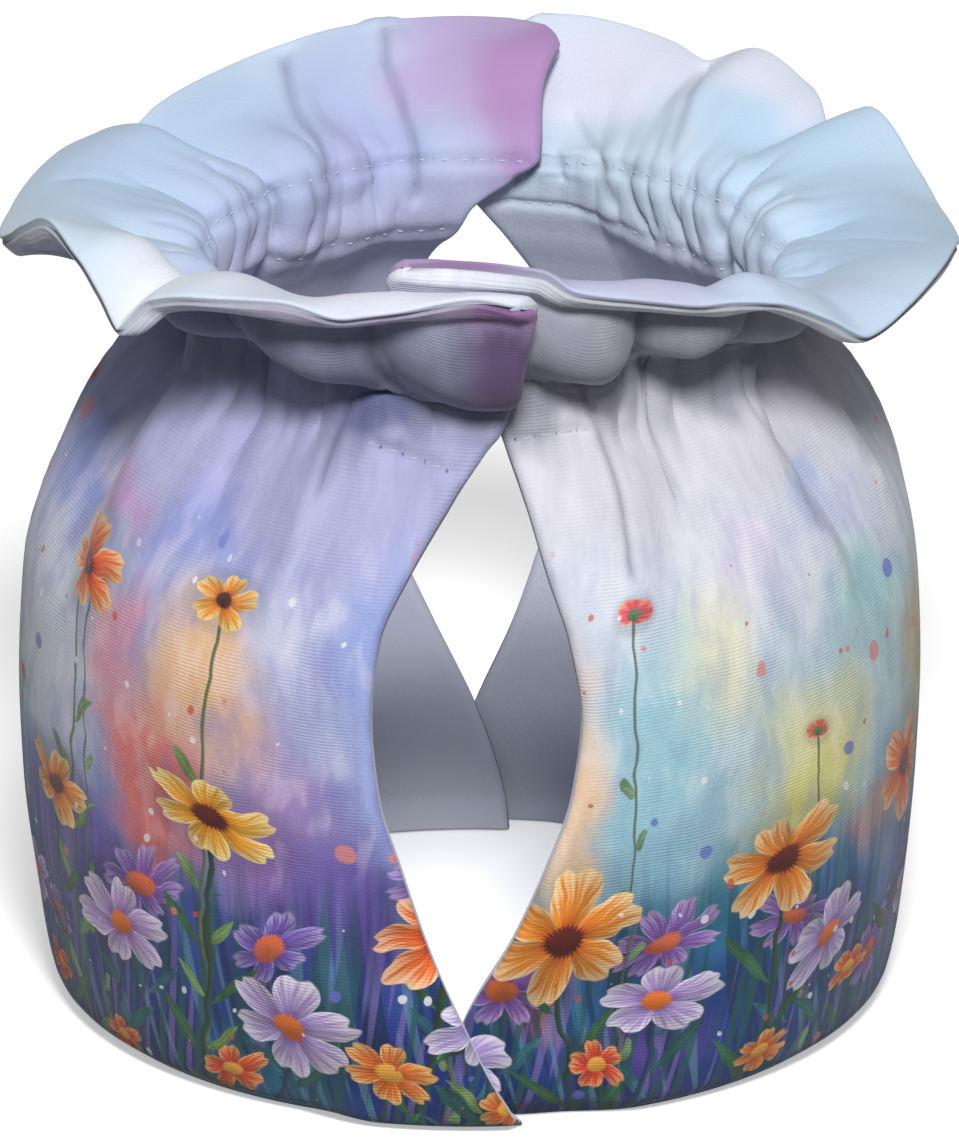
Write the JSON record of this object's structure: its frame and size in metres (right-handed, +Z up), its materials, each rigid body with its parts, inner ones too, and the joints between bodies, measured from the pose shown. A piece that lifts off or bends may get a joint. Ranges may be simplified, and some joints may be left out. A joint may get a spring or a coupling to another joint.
{
  "type": "tea cosy",
  "caption": "Hollow padded tea cosy: two crossing cloth panels with a spout slit and a handle slit, a gathered neck and a waved ruffle collar.",
  "frame": {"origin": "on the surface the hem rests on, under the middle of the cosy's bounding box", "axes": "+Z up through the open neck, -Y out of the spout slit, +X to the right of someone who faces the spout slit"},
  "size_m": [0.1684, 0.1647, 0.1602],
  "materials": {
    "left_panel_cloth": "matt woven polyester with a fine rib, padded",
    "right_panel_cloth": "matt woven polyester with a fine rib, padded"
  },
  "bodies": {
    "root": {"left_panel": "left_panel_cloth", "right_panel": "right_panel_cloth"}
  },
  "joints": []
}
